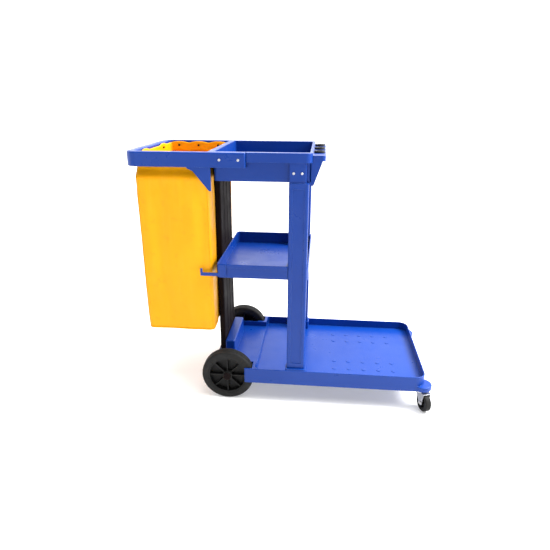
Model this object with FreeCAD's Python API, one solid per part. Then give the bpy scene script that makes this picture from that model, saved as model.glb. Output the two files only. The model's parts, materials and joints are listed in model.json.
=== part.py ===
"""Wheeled cleaning cart: a moulded platform with a top tray, a middle tray, a rear column, a handle
frame that carries a zipped bag, two large rear wheels and two front swivel casters.

Frame: millimetres, +X towards the front of the deck, +Y to the left side, +Z up. The origin is on
the floor at the middle of the overall box."""

import FreeCAD, Part
import math
import os

Vector = FreeCAD.Vector

# ---------------------------------------------------------------- driving dimensions
OVERALL_LENGTH = 1148.0
TOP_Z = 980.0
REAR_X = -OVERALL_LENGTH / 2
FRONT_X = OVERALL_LENGTH / 2
SIDES = ((-1, "right"), (1, "left"))

WALL = 4.5                 # usual moulded wall
GAP = 0.3                  # room between neighbouring pieces

# deck and its skirt
DECK_FRONT_X = 546.0
DECK_REAR_X = -165.0       # rear end of the wide part
TAIL_REAR_X = -294.0       # rear end of the narrow part between the wheels
DECK_HALF = 246.0
TAIL_HALF = 184.0
SKIRT_Z = 82.0
FLOOR_Z = 110.0
TAIL_FLOOR_Z = 122.0
RIM_Z = 145.0
DECK_CORNER = 40.0

# trays
TRAY_REAR_X = -261.7
TRAY_FRONT_X = 79.0
TRAY_HALF = 233.0
TOP_BASIN_HALF = 212.0
TOP_BASIN_Z = 879.0
TOP_BAND = 33.0
BASIN_CORNER = 4.0         # inside corners of the top basin at its floor
DIVIDER_Z = 932.0
MID_TOP_Z = 575.0
MID_BOTTOM_Z = 521.0

# uprights
POST_X0, POST_X1 = 4.0, 74.0
TONGUE_X0, TONGUE_X1 = 5.0, 64.0
POST_INNER = 199.0
TONGUE_OUTER = 228.7
POST_FOOT_Z = 92.0
COLUMN_X0, COLUMN_X1 = -284.0, -262.0
COLUMN_HALF = 112.0
COLUMN_TOP_Z = 940.0
BLOCK_X1, BLOCK_Z = -222.0, 196.0     # block in front of the column's foot

# handle frame
RAIL_OUTER = 240.0
RAIL_WIDTH = 27.7
RAIL_DEPTH = 51.0
ARM_FRONT_X = -145.0

# bag
BAG_REAR_X, BAG_FRONT_X = -548.0, -271.0
BAG_HALF = 232.0
BAG_BOTTOM_Z = 280.0
BAG_SHOULDER_Z = 886.0
BAG_HEM_Z = 976.0
BAG_SKIN = 2.5

# rear wheels
WHEEL_R = 104.0
WHEEL_X = -233.5
WHEEL_Y = 218.0
TYRE_WIDTH = 44.0
TYRE_BORE_R = 80.0
AXLE_R = 6.0
RUN_FIT = 0.05             # radial clearance of a wheel or swivel on its pin

# front casters
CASTER_R = 37.5
CASTER_WIDTH = 24.0
CASTER_X, CASTER_Y = 538.0, 222.0
CASTER_TRAIL = 24.0
CASTER_TURN = 70.0         # degrees the forks are turned outwards from straight ahead
CROWN_Z = 80.5
CROWN_R = 27.0
INSERT_R = 9.0
EAR_Z0, EAR_Z1 = 86.0, 106.0

SCREW_R = 2.2
SHORT_SCREW = 16.0
RACK_SCREW = 9.5           # ends inside the basin's front wall
POST_SCREW = 20.5          # from a post's tongue into the basin's side
HANDLE_SCREW = 31.0        # through a handle arm into the basin's side
LONG_SCREW = 26.5          # from the column's back into a tray


# ---------------------------------------------------------------- shape helpers
def rounded_face(x0, y0, x1, y1, r, z):
    """Rectangle with its corners rounded; r is one radius or four, from (x0, y0) anticlockwise."""
    radii = list(r) if isinstance(r, (tuple, list)) else [r] * 4
    corners = [(x0, y0, 180), (x1, y0, 270), (x1, y1, 0), (x0, y1, 90)]
    toward = [(1, 1), (-1, 1), (-1, -1), (1, -1)]
    edges = []
    ends = []
    for (cx, cy, start), (sx, sy), rad in zip(corners, toward, radii):
        if rad <= 0:
            ends.append((Vector(cx, cy, z), Vector(cx, cy, z), None))
            continue
        mid = Vector(cx + sx * rad, cy + sy * rad, z)
        on = []
        for turn in (0, 45, 90):
            a = math.radians(start + turn)
            on.append(mid + Vector(rad * math.cos(a), rad * math.sin(a), 0))
        ends.append((on[0], on[2], Part.Arc(*on).toShape()))
    for i, (first, last, arc) in enumerate(ends):
        if arc is not None:
            edges.append(arc)
        following = ends[(i + 1) % 4][0]
        if (following - last).Length > 1e-6:
            edges.append(Part.LineSegment(last, following).toShape())
    return Part.Face(Part.Wire(edges))


def slab(x0, x1, y0, y1, z0, z1, r=0.0):
    """Upright block with rounded vertical edges."""
    return rounded_face(x0, y0, x1, y1, r, z0).extrude(Vector(0, 0, z1 - z0))


def loft(lower, upper):
    """Solid between two rounded rectangles, each (x0, x1, y0, y1, r, z)."""
    wires = []
    for x0, x1, y0, y1, r, z in (lower, upper):
        wires.append(rounded_face(x0, y0, x1, y1, r, z).OuterWire)
    return Part.makeLoft(wires, True, True)


def rod(centre, axis, radius, length):
    """Cylinder that starts at centre and runs along axis."""
    return Part.makeCylinder(radius, length, Vector(*centre), Vector(*axis))


def ring(centre, axis, outer, inner, length):
    return rod(centre, axis, outer, length).cut(rod(centre, axis, inner, length))


def profile(points, thickness, axis):
    """Polygon of 3-D points thickened along axis."""
    corners = [Vector(*p) for p in points]
    face = Part.Face(Part.makePolygon(corners + corners[:1]))
    return face.extrude(Vector(*axis) * thickness)


def union(solids):
    whole = solids[0]
    if len(solids) > 1:
        whole = whole.multiFuse(list(solids[1:]))
    return whole.removeSplitter()


def subtract(solid, tools):
    for tool in tools:
        solid = solid.cut(tool)
    return solid


def edges_where(shape, test):
    """Edges whose box passes test(x0, x1, y0, y1, z0, z1)."""
    found = []
    for edge in shape.Edges:
        b = edge.BoundBox
        if test(b.XMin, b.XMax, b.YMin, b.YMax, b.ZMin, b.ZMax):
            found.append(edge)
    return found


def round_level_edges(shape, z, radius, keep=None):
    """Round every edge that lies flat at height z."""
    def level(x0, x1, y0, y1, z0, z1):
        flat = abs(z0 - z) < 0.01 and abs(z1 - z) < 0.01
        return flat and (keep is None or keep(x0, x1, y0, y1))
    return shape.makeFillet(radius, edges_where(shape, level))


def mirrored(solid, side):
    """The right-hand piece for side -1, and its mirror image for side 1."""
    if side < 0:
        return solid
    return solid.mirror(Vector(0, 0, 0), Vector(0, 1, 0))


def export(name, shapes):
    """Write one node; several separate solids go in as a compound."""
    if not isinstance(shapes, (list, tuple)):
        shapes = [shapes]
    solids = [s for shape in shapes for s in shape.Solids]
    shape = solids[0] if len(solids) == 1 else Part.makeCompound(solids)
    os.makedirs("parts", exist_ok=True)
    shape.exportStep("parts/%s.step" % name)
    b = shape.BoundBox
    state = all(s.isValid() for s in solids)
    print("%-24s %d solids, valid %s, X %.1f..%.1f Y %.1f..%.1f Z %.1f..%.1f" % (
        name, len(solids), state, b.XMin, b.XMax, b.YMin, b.YMax, b.ZMin, b.ZMax))


# ---------------------------------------------------------------- screws
def screw(head_face, inward, length=SHORT_SCREW):
    """Pan-head screw: head_face is where the head sits, inward is the way the shank points."""
    face = Vector(*head_face)
    way = Vector(*inward)
    head = Part.makeCylinder(4.5, 2.6, face - way * 2.6, way)
    head = head.makeFillet(1.2, [e for e in head.Edges if (e.CenterOfMass - face).Length > 2.5
                                 and e.Length > 20])
    shank = Part.makeCylinder(SCREW_R, length, face, way)
    slot = Part.makeBox(6.4, 1.2, 1.4, Vector(-3.2, -0.6, 0))
    cross = slot.fuse(Part.makeBox(1.2, 6.4, 1.4, Vector(-0.6, -3.2, 0)))
    cross.Placement = FreeCAD.Placement(face - way * 2.6, FreeCAD.Rotation(Vector(0, 0, 1), way))
    return head.fuse(shank).removeSplitter().cut(cross)


def screw_hole(head_face, inward, length=SHORT_SCREW):
    return rod(head_face, inward, SCREW_R + RUN_FIT, length + 0.5)


COLUMN_SCREWS = [((COLUMN_X0, y, z), (1, 0, 0), LONG_SCREW)
                 for z in (176.0, 548.0, 905.0) for y in (-80.0, 80.0)]
SOCKET_SCREWS = [((TAIL_REAR_X, y, 128.0), (1, 0, 0)) for y in (-80.0, 80.0)]
HANDLE_SCREWS = [((x, s * RAIL_OUTER, 955.0), (0, -s, 0), HANDLE_SCREW)
                 for s, _ in SIDES for x in (-235.0, -170.0)]
POST_SCREWS = [((x, s * TONGUE_OUTER, 912.0), (0, -s, 0), POST_SCREW)
               for s, _ in SIDES for x in (20.0, 49.0)]
RACK_SCREWS = [((TRAY_FRONT_X + 4.3, y, 900.0), (-1, 0, 0), RACK_SCREW) for y in (-150.0, 0.0, 150.0)]


def drilled(solid, places):
    return subtract(solid, [screw_hole(*place) for place in places])


# ---------------------------------------------------------------- base platform
def ear(side):
    """Round corner boss that carries a caster's stem."""
    boss = rod((CASTER_X, side * CASTER_Y, EAR_Z0), (0, 0, 1), FRONT_X - CASTER_X, EAR_Z1 - EAR_Z0)
    boss = round_level_edges(boss, EAR_Z1, 4.0)
    return round_level_edges(boss, EAR_Z0, 2.0)


def floor_grip(x, y):
    """Low round stud that keeps a bucket from sliding."""
    stud = rod((x, y, FLOOR_Z - 0.5), (0, 0, 1), 9.0, 2.0)
    return round_level_edges(stud, FLOOR_Z + 1.5, 1.0)


def base_platform():
    front_r = (8, DECK_CORNER, DECK_CORNER, 8)
    wide = slab(DECK_REAR_X, DECK_FRONT_X, -DECK_HALF, DECK_HALF, SKIRT_Z, RIM_Z, front_r)
    tail = slab(TAIL_REAR_X, DECK_REAR_X + 60, -TAIL_HALF, TAIL_HALF, SKIRT_Z, RIM_Z, (22, 0, 0, 22))
    body = union([wide, tail])

    # the deck's basin, and the shallower one over the axle
    inner = DECK_HALF - WALL
    basin = slab(-122, DECK_FRONT_X - WALL, -inner, inner, FLOOR_Z, RIM_Z + 1,
                 (14, DECK_CORNER - WALL, DECK_CORNER - WALL, 14))
    tail_basin = slab(-256, -110, -TAIL_HALF + WALL, TAIL_HALF - WALL, TAIL_FLOOR_Z, RIM_Z + 1,
                      (8, 0, 0, 8))
    body = subtract(body, [basin, tail_basin])
    body = round_level_edges(body, RIM_Z, 1.8)

    # hollow underside with stiffening ribs
    under = slab(-118, DECK_FRONT_X - WALL, -inner, inner, SKIRT_Z - 1, FLOOR_Z - WALL,
                 (10, DECK_CORNER - WALL, DECK_CORNER - WALL, 10))
    under_tail = slab(-252, -124, -TAIL_HALF + 9, TAIL_HALF - 9, SKIRT_Z - 1, TAIL_FLOOR_Z - WALL)
    body = subtract(body, [under, under_tail])
    ribs = []
    for x in range(-60, 500, 92):
        ribs.append(slab(x - 1.5, x + 1.5, -inner - 1, inner + 1, SKIRT_Z + 6, FLOOR_Z - 2))
    for y in (-120, 0, 120):
        ribs.append(slab(-120, DECK_FRONT_X - 3, y - 1.5, y + 1.5, SKIRT_Z + 6, FLOOR_Z - 2))
    webs = []
    for y in (-60, 60):
        webs.append(slab(-254, -122, y - 4, y + 4, SKIRT_Z + 2, TAIL_FLOOR_Z - 2))
    body = union([body] + ribs + webs)

    # post sockets, caster ears and bucket studs
    added = []
    for side, _ in SIDES:
        y0, y1 = sorted((side * (POST_INNER - 5), side * (DECK_HALF - 3)))
        added.append(slab(POST_X0 - 5, POST_X1 + 5, y0, y1, SKIRT_Z + 4, RIM_Z + 5, 7))
        added.append(ear(side))
    for x in (196.0, 256.0, 316.0, 376.0, 436.0):
        for y in (-150.0, -90.0, 90.0, 150.0):
            added.append(floor_grip(x, y))
    # block in front of the column's foot, open below
    block = slab(COLUMN_X1 + GAP, BLOCK_X1, -COLUMN_HALF - 6, COLUMN_HALF + 6, SKIRT_Z + 4, BLOCK_Z, 6)
    block = round_level_edges(block, BLOCK_Z, 4.0)
    body = union([body, block] + added)

    tools = [slab(COLUMN_X1 + 5, BLOCK_X1 - WALL, -COLUMN_HALF, COLUMN_HALF, SKIRT_Z - 1, BLOCK_Z - 5, 2)]
    for side, _ in SIDES:
        y0, y1 = sorted((side * (POST_INNER - GAP), side * (TRAY_HALF + GAP)))
        tools.append(slab(POST_X0 - GAP, POST_X1 + GAP, y0, y1, POST_FOOT_Z - GAP, RIM_Z + 10, 6))
        tools.append(rod((WHEEL_X, side * 190, WHEEL_R), (0, side, 0), WHEEL_R + 4, 51.5))
        tools.append(rod((CASTER_X, side * CASTER_Y, EAR_Z0 - 1), (0, 0, 1), INSERT_R, 17.0))
        below_ear = (CASTER_X, side * CASTER_Y, SKIRT_Z - 1)
        tools.append(rod(below_ear, (0, 0, 1), CROWN_R + 3, EAR_Z0 - SKIRT_Z + 1))
    tools.append(slab(COLUMN_X0 - GAP, COLUMN_X1 + GAP, -COLUMN_HALF - GAP, COLUMN_HALF + GAP,
                      SKIRT_Z + 4 - GAP, RIM_Z + 1, 6))
    tools.append(rod((WHEEL_X, -200, WHEEL_R), (0, 1, 0), AXLE_R + RUN_FIT, 400))
    body = subtract(body, tools)
    return drilled(body, SOCKET_SCREWS + COLUMN_SCREWS)


# ---------------------------------------------------------------- uprights
def front_post(side):
    post = slab(POST_X0, POST_X1, -TRAY_HALF, -POST_INNER, POST_FOOT_Z, TOP_BASIN_Z - GAP, 6)
    tongue = slab(TONGUE_X0, TONGUE_X1, -TONGUE_OUTER, -TOP_BASIN_HALF - GAP, TOP_BASIN_Z - 2,
                  TOP_Z - 4.3, 3)
    post = union([post, tongue])
    hollow = slab(POST_X0 + 4, POST_X1 - 4, -TRAY_HALF + 4, -POST_INNER - 4, POST_FOOT_Z - 1, 868, 3)
    flute = slab(POST_X0 + 14, POST_X1 - 14, -TRAY_HALF - 1, -TRAY_HALF + 2, 172, 858)
    flute = flute.makeFillet(1.4, edges_where(flute, lambda x0, x1, y0, y1, z0, z1: y0 > -232))
    post = subtract(post, [hollow, flute])
    return drilled(mirrored(post, side), POST_SCREWS)


def rear_column():
    column = slab(COLUMN_X0, COLUMN_X1, -COLUMN_HALF, COLUMN_HALF, SKIRT_Z + 4, COLUMN_TOP_Z, 6)
    hollow = slab(COLUMN_X0 + 4.5, COLUMN_X1 - 4.5, -COLUMN_HALF + 4.5, COLUMN_HALF - 4.5,
                  SKIRT_Z + 3, COLUMN_TOP_Z - 5, 2)
    tools = [hollow]
    for y in (-60.0, 0.0, 60.0):
        for z0, z1 in ((215, 505), (600, 862)):
            tools.append(slab(COLUMN_X1 - 1.2, COLUMN_X1 + 1, y - 18, y + 18, z0, z1))
            tools.append(slab(COLUMN_X0 - 1, COLUMN_X0 + 1.2, y - 18, y + 18, z0, z1))
    return drilled(subtract(column, tools), COLUMN_SCREWS + SOCKET_SCREWS)


# ---------------------------------------------------------------- trays
def top_tray():
    basin = slab(TRAY_REAR_X, TRAY_FRONT_X, -TOP_BASIN_HALF, TOP_BASIN_HALF, TOP_BASIN_Z, TOP_Z,
                 (10, 12, 12, 10))
    flange = slab(ARM_FRONT_X + GAP, TRAY_FRONT_X + 5, -TRAY_HALF, TRAY_HALF, TOP_Z - TOP_BAND, TOP_Z,
                  (4, 24, 24, 4))
    under_flange = slab(ARM_FRONT_X + 4, TRAY_FRONT_X + 1, -TRAY_HALF + 4, TRAY_HALF - 4,
                        TOP_Z - TOP_BAND - 1, TOP_Z - 4, (2, 20, 20, 2))
    band = flange.cut(under_flange)
    rack_room = slab(TRAY_FRONT_X, TRAY_FRONT_X + 10, -216, 216, 900, TOP_Z + 1)
    shell = union([basin, band.cut(rack_room)])
    shell = round_level_edges(shell, TOP_Z, 2.0)
    inner = TOP_BASIN_HALF - WALL
    pocket = loft((TRAY_REAR_X + WALL + 3, TRAY_FRONT_X - WALL - 3, -inner + 3, inner - 3, BASIN_CORNER,
                   TOP_BASIN_Z + WALL),
                  (TRAY_REAR_X + WALL, TRAY_FRONT_X - WALL, -inner, inner, BASIN_CORNER + 3, TOP_Z + 1))
    shell = shell.cut(pocket)
    cross = slab(-92, -88, -inner - 2, inner + 2, TOP_BASIN_Z + 2, DIVIDER_Z)
    cross = round_level_edges(cross, DIVIDER_Z, 1.5, lambda x0, x1, y0, y1: y1 - y0 > 100)
    along = slab(TRAY_REAR_X + 2, -89, -2, 2, TOP_BASIN_Z + 2, DIVIDER_Z - 8)
    along = round_level_edges(along, DIVIDER_Z - 8, 1.5, lambda x0, x1, y0, y1: x1 - x0 > 100)
    shell = union([shell, cross, along])
    return drilled(shell, POST_SCREWS + HANDLE_SCREWS + COLUMN_SCREWS + RACK_SCREWS)


def mid_tray():
    body = slab(TRAY_REAR_X, TRAY_FRONT_X, -TRAY_HALF + 2.5, TRAY_HALF - 2.5, MID_BOTTOM_Z, MID_TOP_Z,
                (14, 14, 14, 14))
    band = slab(TRAY_REAR_X, TRAY_FRONT_X, -TRAY_HALF, TRAY_HALF, MID_TOP_Z - 14, MID_TOP_Z, 15)
    notches = []
    for side, _ in SIDES:
        y0, y1 = sorted((side * (POST_INNER - GAP), side * (TRAY_HALF + 5)))
        notches.append(slab(POST_X0 - GAP, POST_X1 + GAP, y0, y1, MID_BOTTOM_Z - 1, MID_TOP_Z + 1))
    body = subtract(union([body, band]), notches)
    body = round_level_edges(body, MID_BOTTOM_Z, 4.0, lambda x0, x1, y0, y1: y1 < -228 or y0 > 228)
    wide = slab(TRAY_REAR_X + WALL, POST_X0 - 6, -TRAY_HALF + WALL + 2, TRAY_HALF - WALL - 2,
                MID_BOTTOM_Z + WALL, MID_TOP_Z + 1, (10, 6, 6, 10))
    narrow = slab(POST_X0 - 30, TRAY_FRONT_X - WALL, -POST_INNER + 5, POST_INNER - 5,
                  MID_BOTTOM_Z + WALL, MID_TOP_Z + 1, (0, 8, 8, 0))
    body = subtract(body, [union([wide, narrow])])
    body = round_level_edges(body, MID_TOP_Z, 1.6)
    return drilled(body, COLUMN_SCREWS)


# ---------------------------------------------------------------- tool rack
TOOL_Y = (-120.0, 0.0, 120.0)
TOOL_X = 106.0
GRIP_OUTER, GRIP_INNER = 18.0, 12.0
RACK_Z = 966.0


def tool_rack():
    half = 212.0
    reach = 128.0
    back = slab(TRAY_FRONT_X + GAP, TRAY_FRONT_X + 4.3, -half, half, 868, 978)
    shelf = slab(TRAY_FRONT_X + GAP, reach, -half, half, RACK_Z, RACK_Z + 5, (0, 12, 12, 0))
    lip = slab(TRAY_FRONT_X + GAP, reach, -half, half, RACK_Z - 14, RACK_Z + 5, (0, 12, 12, 0))
    lip = lip.cut(slab(TRAY_FRONT_X, reach - 4, -half + 4, half - 4, RACK_Z - 15, RACK_Z + 6, (0, 8, 8, 0)))
    solids = [back, shelf, lip]
    for y in (-half, -60 - 2, 60 - 2, half - 4):
        web = [(TRAY_FRONT_X + 1, y, RACK_Z + 2), (reach - 9, y, RACK_Z + 2),
               (reach - 9, y, RACK_Z - 12), (TRAY_FRONT_X + 9, y, 868), (TRAY_FRONT_X + 1, y, 868)]
        solids.append(profile(web, 4.0, (0, 1, 0)))
    rack = union(solids)
    for y in TOOL_Y:
        rack = rack.cut(rod((TOOL_X, y, RACK_Z - 20), (0, 0, 1), GRIP_OUTER, 40))
        rack = rack.cut(slab(TOOL_X, reach + 1, y - 13, y + 13, RACK_Z - 20, RACK_Z + 10))
    return drilled(rack, RACK_SCREWS)


def tool_grips():
    """Split rubber rings that hold broom and mop handles."""
    grips = []
    for y in TOOL_Y:
        grip = ring((TOOL_X, y, RACK_Z - 6), (0, 0, 1), GRIP_OUTER - 0.05, GRIP_INNER, 18)
        collar = ring((TOOL_X, y, RACK_Z + 5.3), (0, 0, 1), GRIP_OUTER + 2.5, GRIP_INNER, 6.7)
        foot = ring((TOOL_X, y, RACK_Z - 6), (0, 0, 1), GRIP_OUTER + 2.5, GRIP_INNER, 5.7)
        mouth = profile([(TOOL_X, y, RACK_Z - 8), (TOOL_X + 40, y - 22, RACK_Z - 8),
                         (TOOL_X + 40, y + 22, RACK_Z - 8)], 30, (0, 0, 1))
        grips.append(union([grip, collar, foot]).cut(mouth))
    return grips


# ---------------------------------------------------------------- handle frame and pegs
def handle_frame():
    z0, z1 = TOP_Z - RAIL_DEPTH, TOP_Z
    inner = RAIL_OUTER - RAIL_WIDTH
    bar = 28.0
    outer = slab(REAR_X, ARM_FRONT_X, -RAIL_OUTER, RAIL_OUTER, z0, z1, (46, 5, 5, 46))
    mouth = slab(REAR_X + bar, COLUMN_X0, -inner, inner, z0 - 1, z1 + 1, (20, 6, 6, 20))
    tray_room = slab(COLUMN_X1, ARM_FRONT_X + 1, -inner, inner, z0 - 1, z1 + 1)
    frame = subtract(outer, [mouth, tray_room])
    frame = frame.cut(slab(COLUMN_X0 - 1, COLUMN_X1 + 1, -inner + 4, inner - 4, z0 - 1, COLUMN_TOP_Z + GAP))
    frame = round_level_edges(frame, z1, 6.0, lambda x0, x1, y0, y1: x0 < -400 or x1 < -400)
    # the rails are channels, open below
    hollow_outer = slab(REAR_X + 4, ARM_FRONT_X - 4, -RAIL_OUTER + 4, RAIL_OUTER - 4, z0 - 1, z1 - 7,
                        (42, 3, 3, 42))
    hollow_core = slab(REAR_X + bar - 4, ARM_FRONT_X + 1, -inner - 4, inner + 4, z0 - 2, z1,
                       (24, 0, 0, 24))
    frame = frame.cut(hollow_outer.cut(hollow_core))
    solids = [frame]
    for side, _ in SIDES:
        thick = 4.0
        start = side * (RAIL_OUTER - 3) - (thick if side > 0 else 0)
        brace = [(-352, start, z0 + 4), (-268, start, z0 + 4), (-268, start, z0 - 82),
                 (-276, start, z0 - 82), (-330, start, z0 - 14), (-352, start, z0 - 4)]
        solids.append(profile(brace, thick, (0, 1, 0)))
    frame = union(solids)
    for x in (-235.0, -170.0):
        for side, _ in SIDES:
            boss = rod((x, side * (RAIL_OUTER - 3), 955), (0, -side, 0), 7, RAIL_WIDTH - 3.5)
            frame = frame.fuse(boss)
    frame = frame.removeSplitter()
    return drilled(frame, HANDLE_SCREWS)


PEG_Z = 960.0
PEG_LENGTH = 12.0


def peg_places():
    inner = RAIL_OUTER - RAIL_WIDTH
    places = []
    for x in (-500.0, -415.0, -330.0):
        for side, _ in SIDES:
            places.append(((x, side * inner, PEG_Z), (0, -side, 0)))
    for y in (-105.0, 105.0):
        places.append(((REAR_X + 28, y, PEG_Z), (1, 0, 0)))
        places.append(((COLUMN_X0, y, PEG_Z), (-1, 0, 0)))
    return places


PEGS = peg_places()


def bag_pegs():
    """Round-headed pegs on the inner faces of the rails."""
    pegs = []
    for at, way in PEGS:
        start = Vector(*at)
        shank = Part.makeCylinder(2.6, PEG_LENGTH, start, Vector(*way))
        head = Part.makeCylinder(4.2, 2.6, start + Vector(*way) * (PEG_LENGTH - 2.6), Vector(*way))
        pegs.append(shank.fuse(head).removeSplitter())
    return pegs


# ---------------------------------------------------------------- bag
HEM_SETBACK = 3.3


def bag_outline(grow):
    """The bag's filled outer shape, moved inwards by grow all round."""
    inner = RAIL_OUTER - RAIL_WIDTH
    neck_x0, neck_x1 = REAR_X + 28 + HEM_SETBACK + grow, COLUMN_X0 - HEM_SETBACK - grow
    neck_half = inner - HEM_SETBACK - grow
    x0, x1, half = BAG_REAR_X + grow, BAG_FRONT_X - grow, BAG_HALF - grow
    neck = slab(neck_x0, neck_x1, -neck_half, neck_half, 912, BAG_HEM_Z, 16)
    widest = (x0, x1, -half, half, 20, BAG_SHOULDER_Z)
    foot = (x0 + 1, x1 - 5, -half + 6, half - 6, 20, BAG_BOTTOM_Z + 14)
    sole = (x0 + 9, x1 - 13, -half + 14, half - 14, 16, BAG_BOTTOM_Z + grow)
    shoulder = loft(widest, (neck_x0, neck_x1, -neck_half, neck_half, 16, 924))
    body = loft(foot, widest)
    bottom = loft(sole, foot)
    shape = union([neck, shoulder, body, bottom])
    room = slab(COLUMN_X0 - 4 - grow, BAG_FRONT_X + 20, -COLUMN_HALF - 2 - grow, COLUMN_HALF + 2 + grow,
                BAG_BOTTOM_Z - 10, BAG_HEM_Z + 10, 3)
    return shape.cut(room)


def bag():
    filled = bag_outline(0.0)
    inside = bag_outline(BAG_SKIN)
    above = slab(REAR_X + 28 + HEM_SETBACK + BAG_SKIN, COLUMN_X0 - HEM_SETBACK - BAG_SKIN, -206.5, 206.5,
                 BAG_HEM_Z - 10, BAG_HEM_Z + 5, 13.5)
    skin = subtract(filled, [inside, above])
    holes = []
    for at, way in PEGS:
        holes.append(rod(at, way, 5.2, PEG_LENGTH))
    return subtract(skin, holes)


def bag_eyelets():
    rings = []
    for at, way in PEGS:
        start = Vector(*at) + Vector(*way) * (HEM_SETBACK - 1.2)
        rings.append(ring(tuple(start), way, 8.0, 5.2, 1.0))
    return rings


# ---------------------------------------------------------------- zipper
ZIP_Z0, ZIP_Z1 = 345.0, 870.0
ZIP_TRAVEL = 490.0
ZIP_FACE_X = BAG_REAR_X - 0.4


def zip_tape():
    return slab(ZIP_FACE_X - 1.0, ZIP_FACE_X, -15, 15, ZIP_Z0 - 12, ZIP_Z1 + 12, 0.4)


def zip_teeth():
    """Two rows of moulded teeth, each row on one strip."""
    x1 = ZIP_FACE_X - 1.0
    cord = slab(x1 - 0.7, x1, -3, 3, ZIP_Z0, ZIP_Z1)
    teeth = []
    count = 74
    for i in range(count):
        z = ZIP_Z0 + 4 + i * (ZIP_Z1 - ZIP_Z0 - 8) / (count - 1)
        shift = 0.5 if i % 2 else -0.5
        teeth.append(slab(x1 - 1.6, x1 - 0.5, shift - 2.6, shift + 2.6, z - 1.6, z + 1.6))
    return union([cord] + teeth)


def zip_slider():
    x1 = ZIP_FACE_X - 3.0
    z = ZIP_Z1 - 22
    plate = slab(x1 - 3.2, x1, -6.5, 6.5, z - 9, z + 9, 0.8)
    bridge = slab(x1 - 6.5, x1 - 3, -1.6, 1.6, z - 6, z + 6)
    bridge = bridge.cut(slab(x1 - 4.9, x1 - 3.2, -2, 2, z - 4, z + 4))
    return union([plate, bridge])


def zip_pull():
    x1 = ZIP_FACE_X - 3.0
    z = ZIP_Z1 - 22
    tab = slab(x1 - 5.9, x1 - 4.6, -4.5, 4.5, z - 46, z + 8)
    window = slab(x1 - 7.5, x1 - 3, -2.1, 2.1, z - 7.5, z + 3.4 + 3.0)
    grip_hole = slab(x1 - 7.5, x1 - 3, -2.4, 2.4, z - 41, z - 20)
    return subtract(tab, [window, grip_hole])


# ---------------------------------------------------------------- side hooks
def side_hooks():
    """Hooks for a sign or cloth on the rear corners of the middle tray."""
    x0, x1 = -322.0, -226.0
    z0, z1 = MID_TOP_Z - 45, MID_TOP_Z - 1
    y0, y1 = -TRAY_HALF - 5.5, -TRAY_HALF - GAP
    hooks = []
    for side, _ in SIDES:
        arm = slab(x0, x1, y0, y1 - 0.9, z0, z0 + 12, 2)
        stem = slab(x1 - 28, x1, y0, y1, z0, z1)
        tip = slab(x0, x0 + 8, y0, y1 - 0.9, z0, z0 + 28)
        hooks.append(mirrored(union([arm, stem, tip]), side))
    return hooks


# ---------------------------------------------------------------- rear wheels
def rear_axle():
    bar = rod((WHEEL_X, -248, WHEEL_R), (0, 1, 0), AXLE_R, 496)
    return bar.makeChamfer(1.0, [e for e in bar.Edges if e.BoundBox.YLength < 0.1])


def rear_tyre(side):
    y0 = -WHEEL_Y - TYRE_WIDTH / 2
    tyre = rod((WHEEL_X, y0, WHEEL_R), (0, 1, 0), WHEEL_R, TYRE_WIDTH)
    tyre = tyre.makeFillet(9.0, [e for e in tyre.Edges if e.BoundBox.YLength < 0.1])
    tyre = tyre.cut(rod((WHEEL_X, y0 - 1, WHEEL_R), (0, 1, 0), TYRE_BORE_R, TYRE_WIDTH + 2))
    for dy in (-9.0, 0.0, 9.0):
        start = (WHEEL_X, -WHEEL_Y + dy - 1.5, WHEEL_R)
        tyre = tyre.cut(ring(start, (0, 1, 0), WHEEL_R + 2, WHEEL_R - 2.5, 3))
    return mirrored(tyre, side)


def rear_hub(side):
    y_in, y_out = -TAIL_HALF - 5.3, -WHEEL_Y - TYRE_WIDTH / 2 + 1
    centre = (WHEEL_X, -WHEEL_Y, WHEEL_R)
    rim = ring((WHEEL_X, -WHEEL_Y - 21, WHEEL_R), (0, 1, 0), TYRE_BORE_R, TYRE_BORE_R - 8, 42)
    web = rod((WHEEL_X, -WHEEL_Y - 3, WHEEL_R), (0, 1, 0), TYRE_BORE_R - 6, 6)
    barrel = rod((WHEEL_X, -WHEEL_Y - 23.7, WHEEL_R), (0, 1, 0), 19, 23.7 + WHEEL_Y + y_in)
    ribs = []
    for i in range(8):
        rib = slab(WHEEL_X + 14, WHEEL_X + TYRE_BORE_R - 6, -WHEEL_Y - 17, -WHEEL_Y + 17,
                   WHEEL_R - 2.2, WHEEL_R + 2.2)
        ribs.append(rib.rotate(Vector(*centre), Vector(0, 1, 0), 45 * i))
    hub = union([rim, web, barrel] + ribs)
    hub = hub.cut(rod((WHEEL_X, -WHEEL_Y - 40, WHEEL_R), (0, 1, 0), 10.0, 80))
    return mirrored(hub, side)


def rear_bush(side):
    y0 = -WHEEL_Y - 23.7
    length = 23.7 + WHEEL_Y - TAIL_HALF - 5.3
    return mirrored(ring((WHEEL_X, y0, WHEEL_R), (0, 1, 0), 10.0, AXLE_R + RUN_FIT, length), side)


def axle_washers():
    washers = []
    for side, _ in SIDES:
        for y in (TAIL_HALF + 3.0, WHEEL_Y + 24.0):
            washers.append(ring((WHEEL_X, side * y, WHEEL_R), (0, side, 0), 14, AXLE_R + RUN_FIT, 1.9))
    return washers


def axle_cap(side):
    start = (WHEEL_X, side * (WHEEL_Y + 26.3), WHEEL_R)
    cap = rod(start, (0, side, 0), 15, 6)
    cap = cap.makeFillet(3.5, [e for e in cap.Edges if abs(abs(e.CenterOfMass.y) - WHEEL_Y - 32.3) < 0.1])
    return cap.cut(rod((WHEEL_X, side * (WHEEL_Y + 20), WHEEL_R), (0, side, 0), AXLE_R, 10.2))


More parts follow.
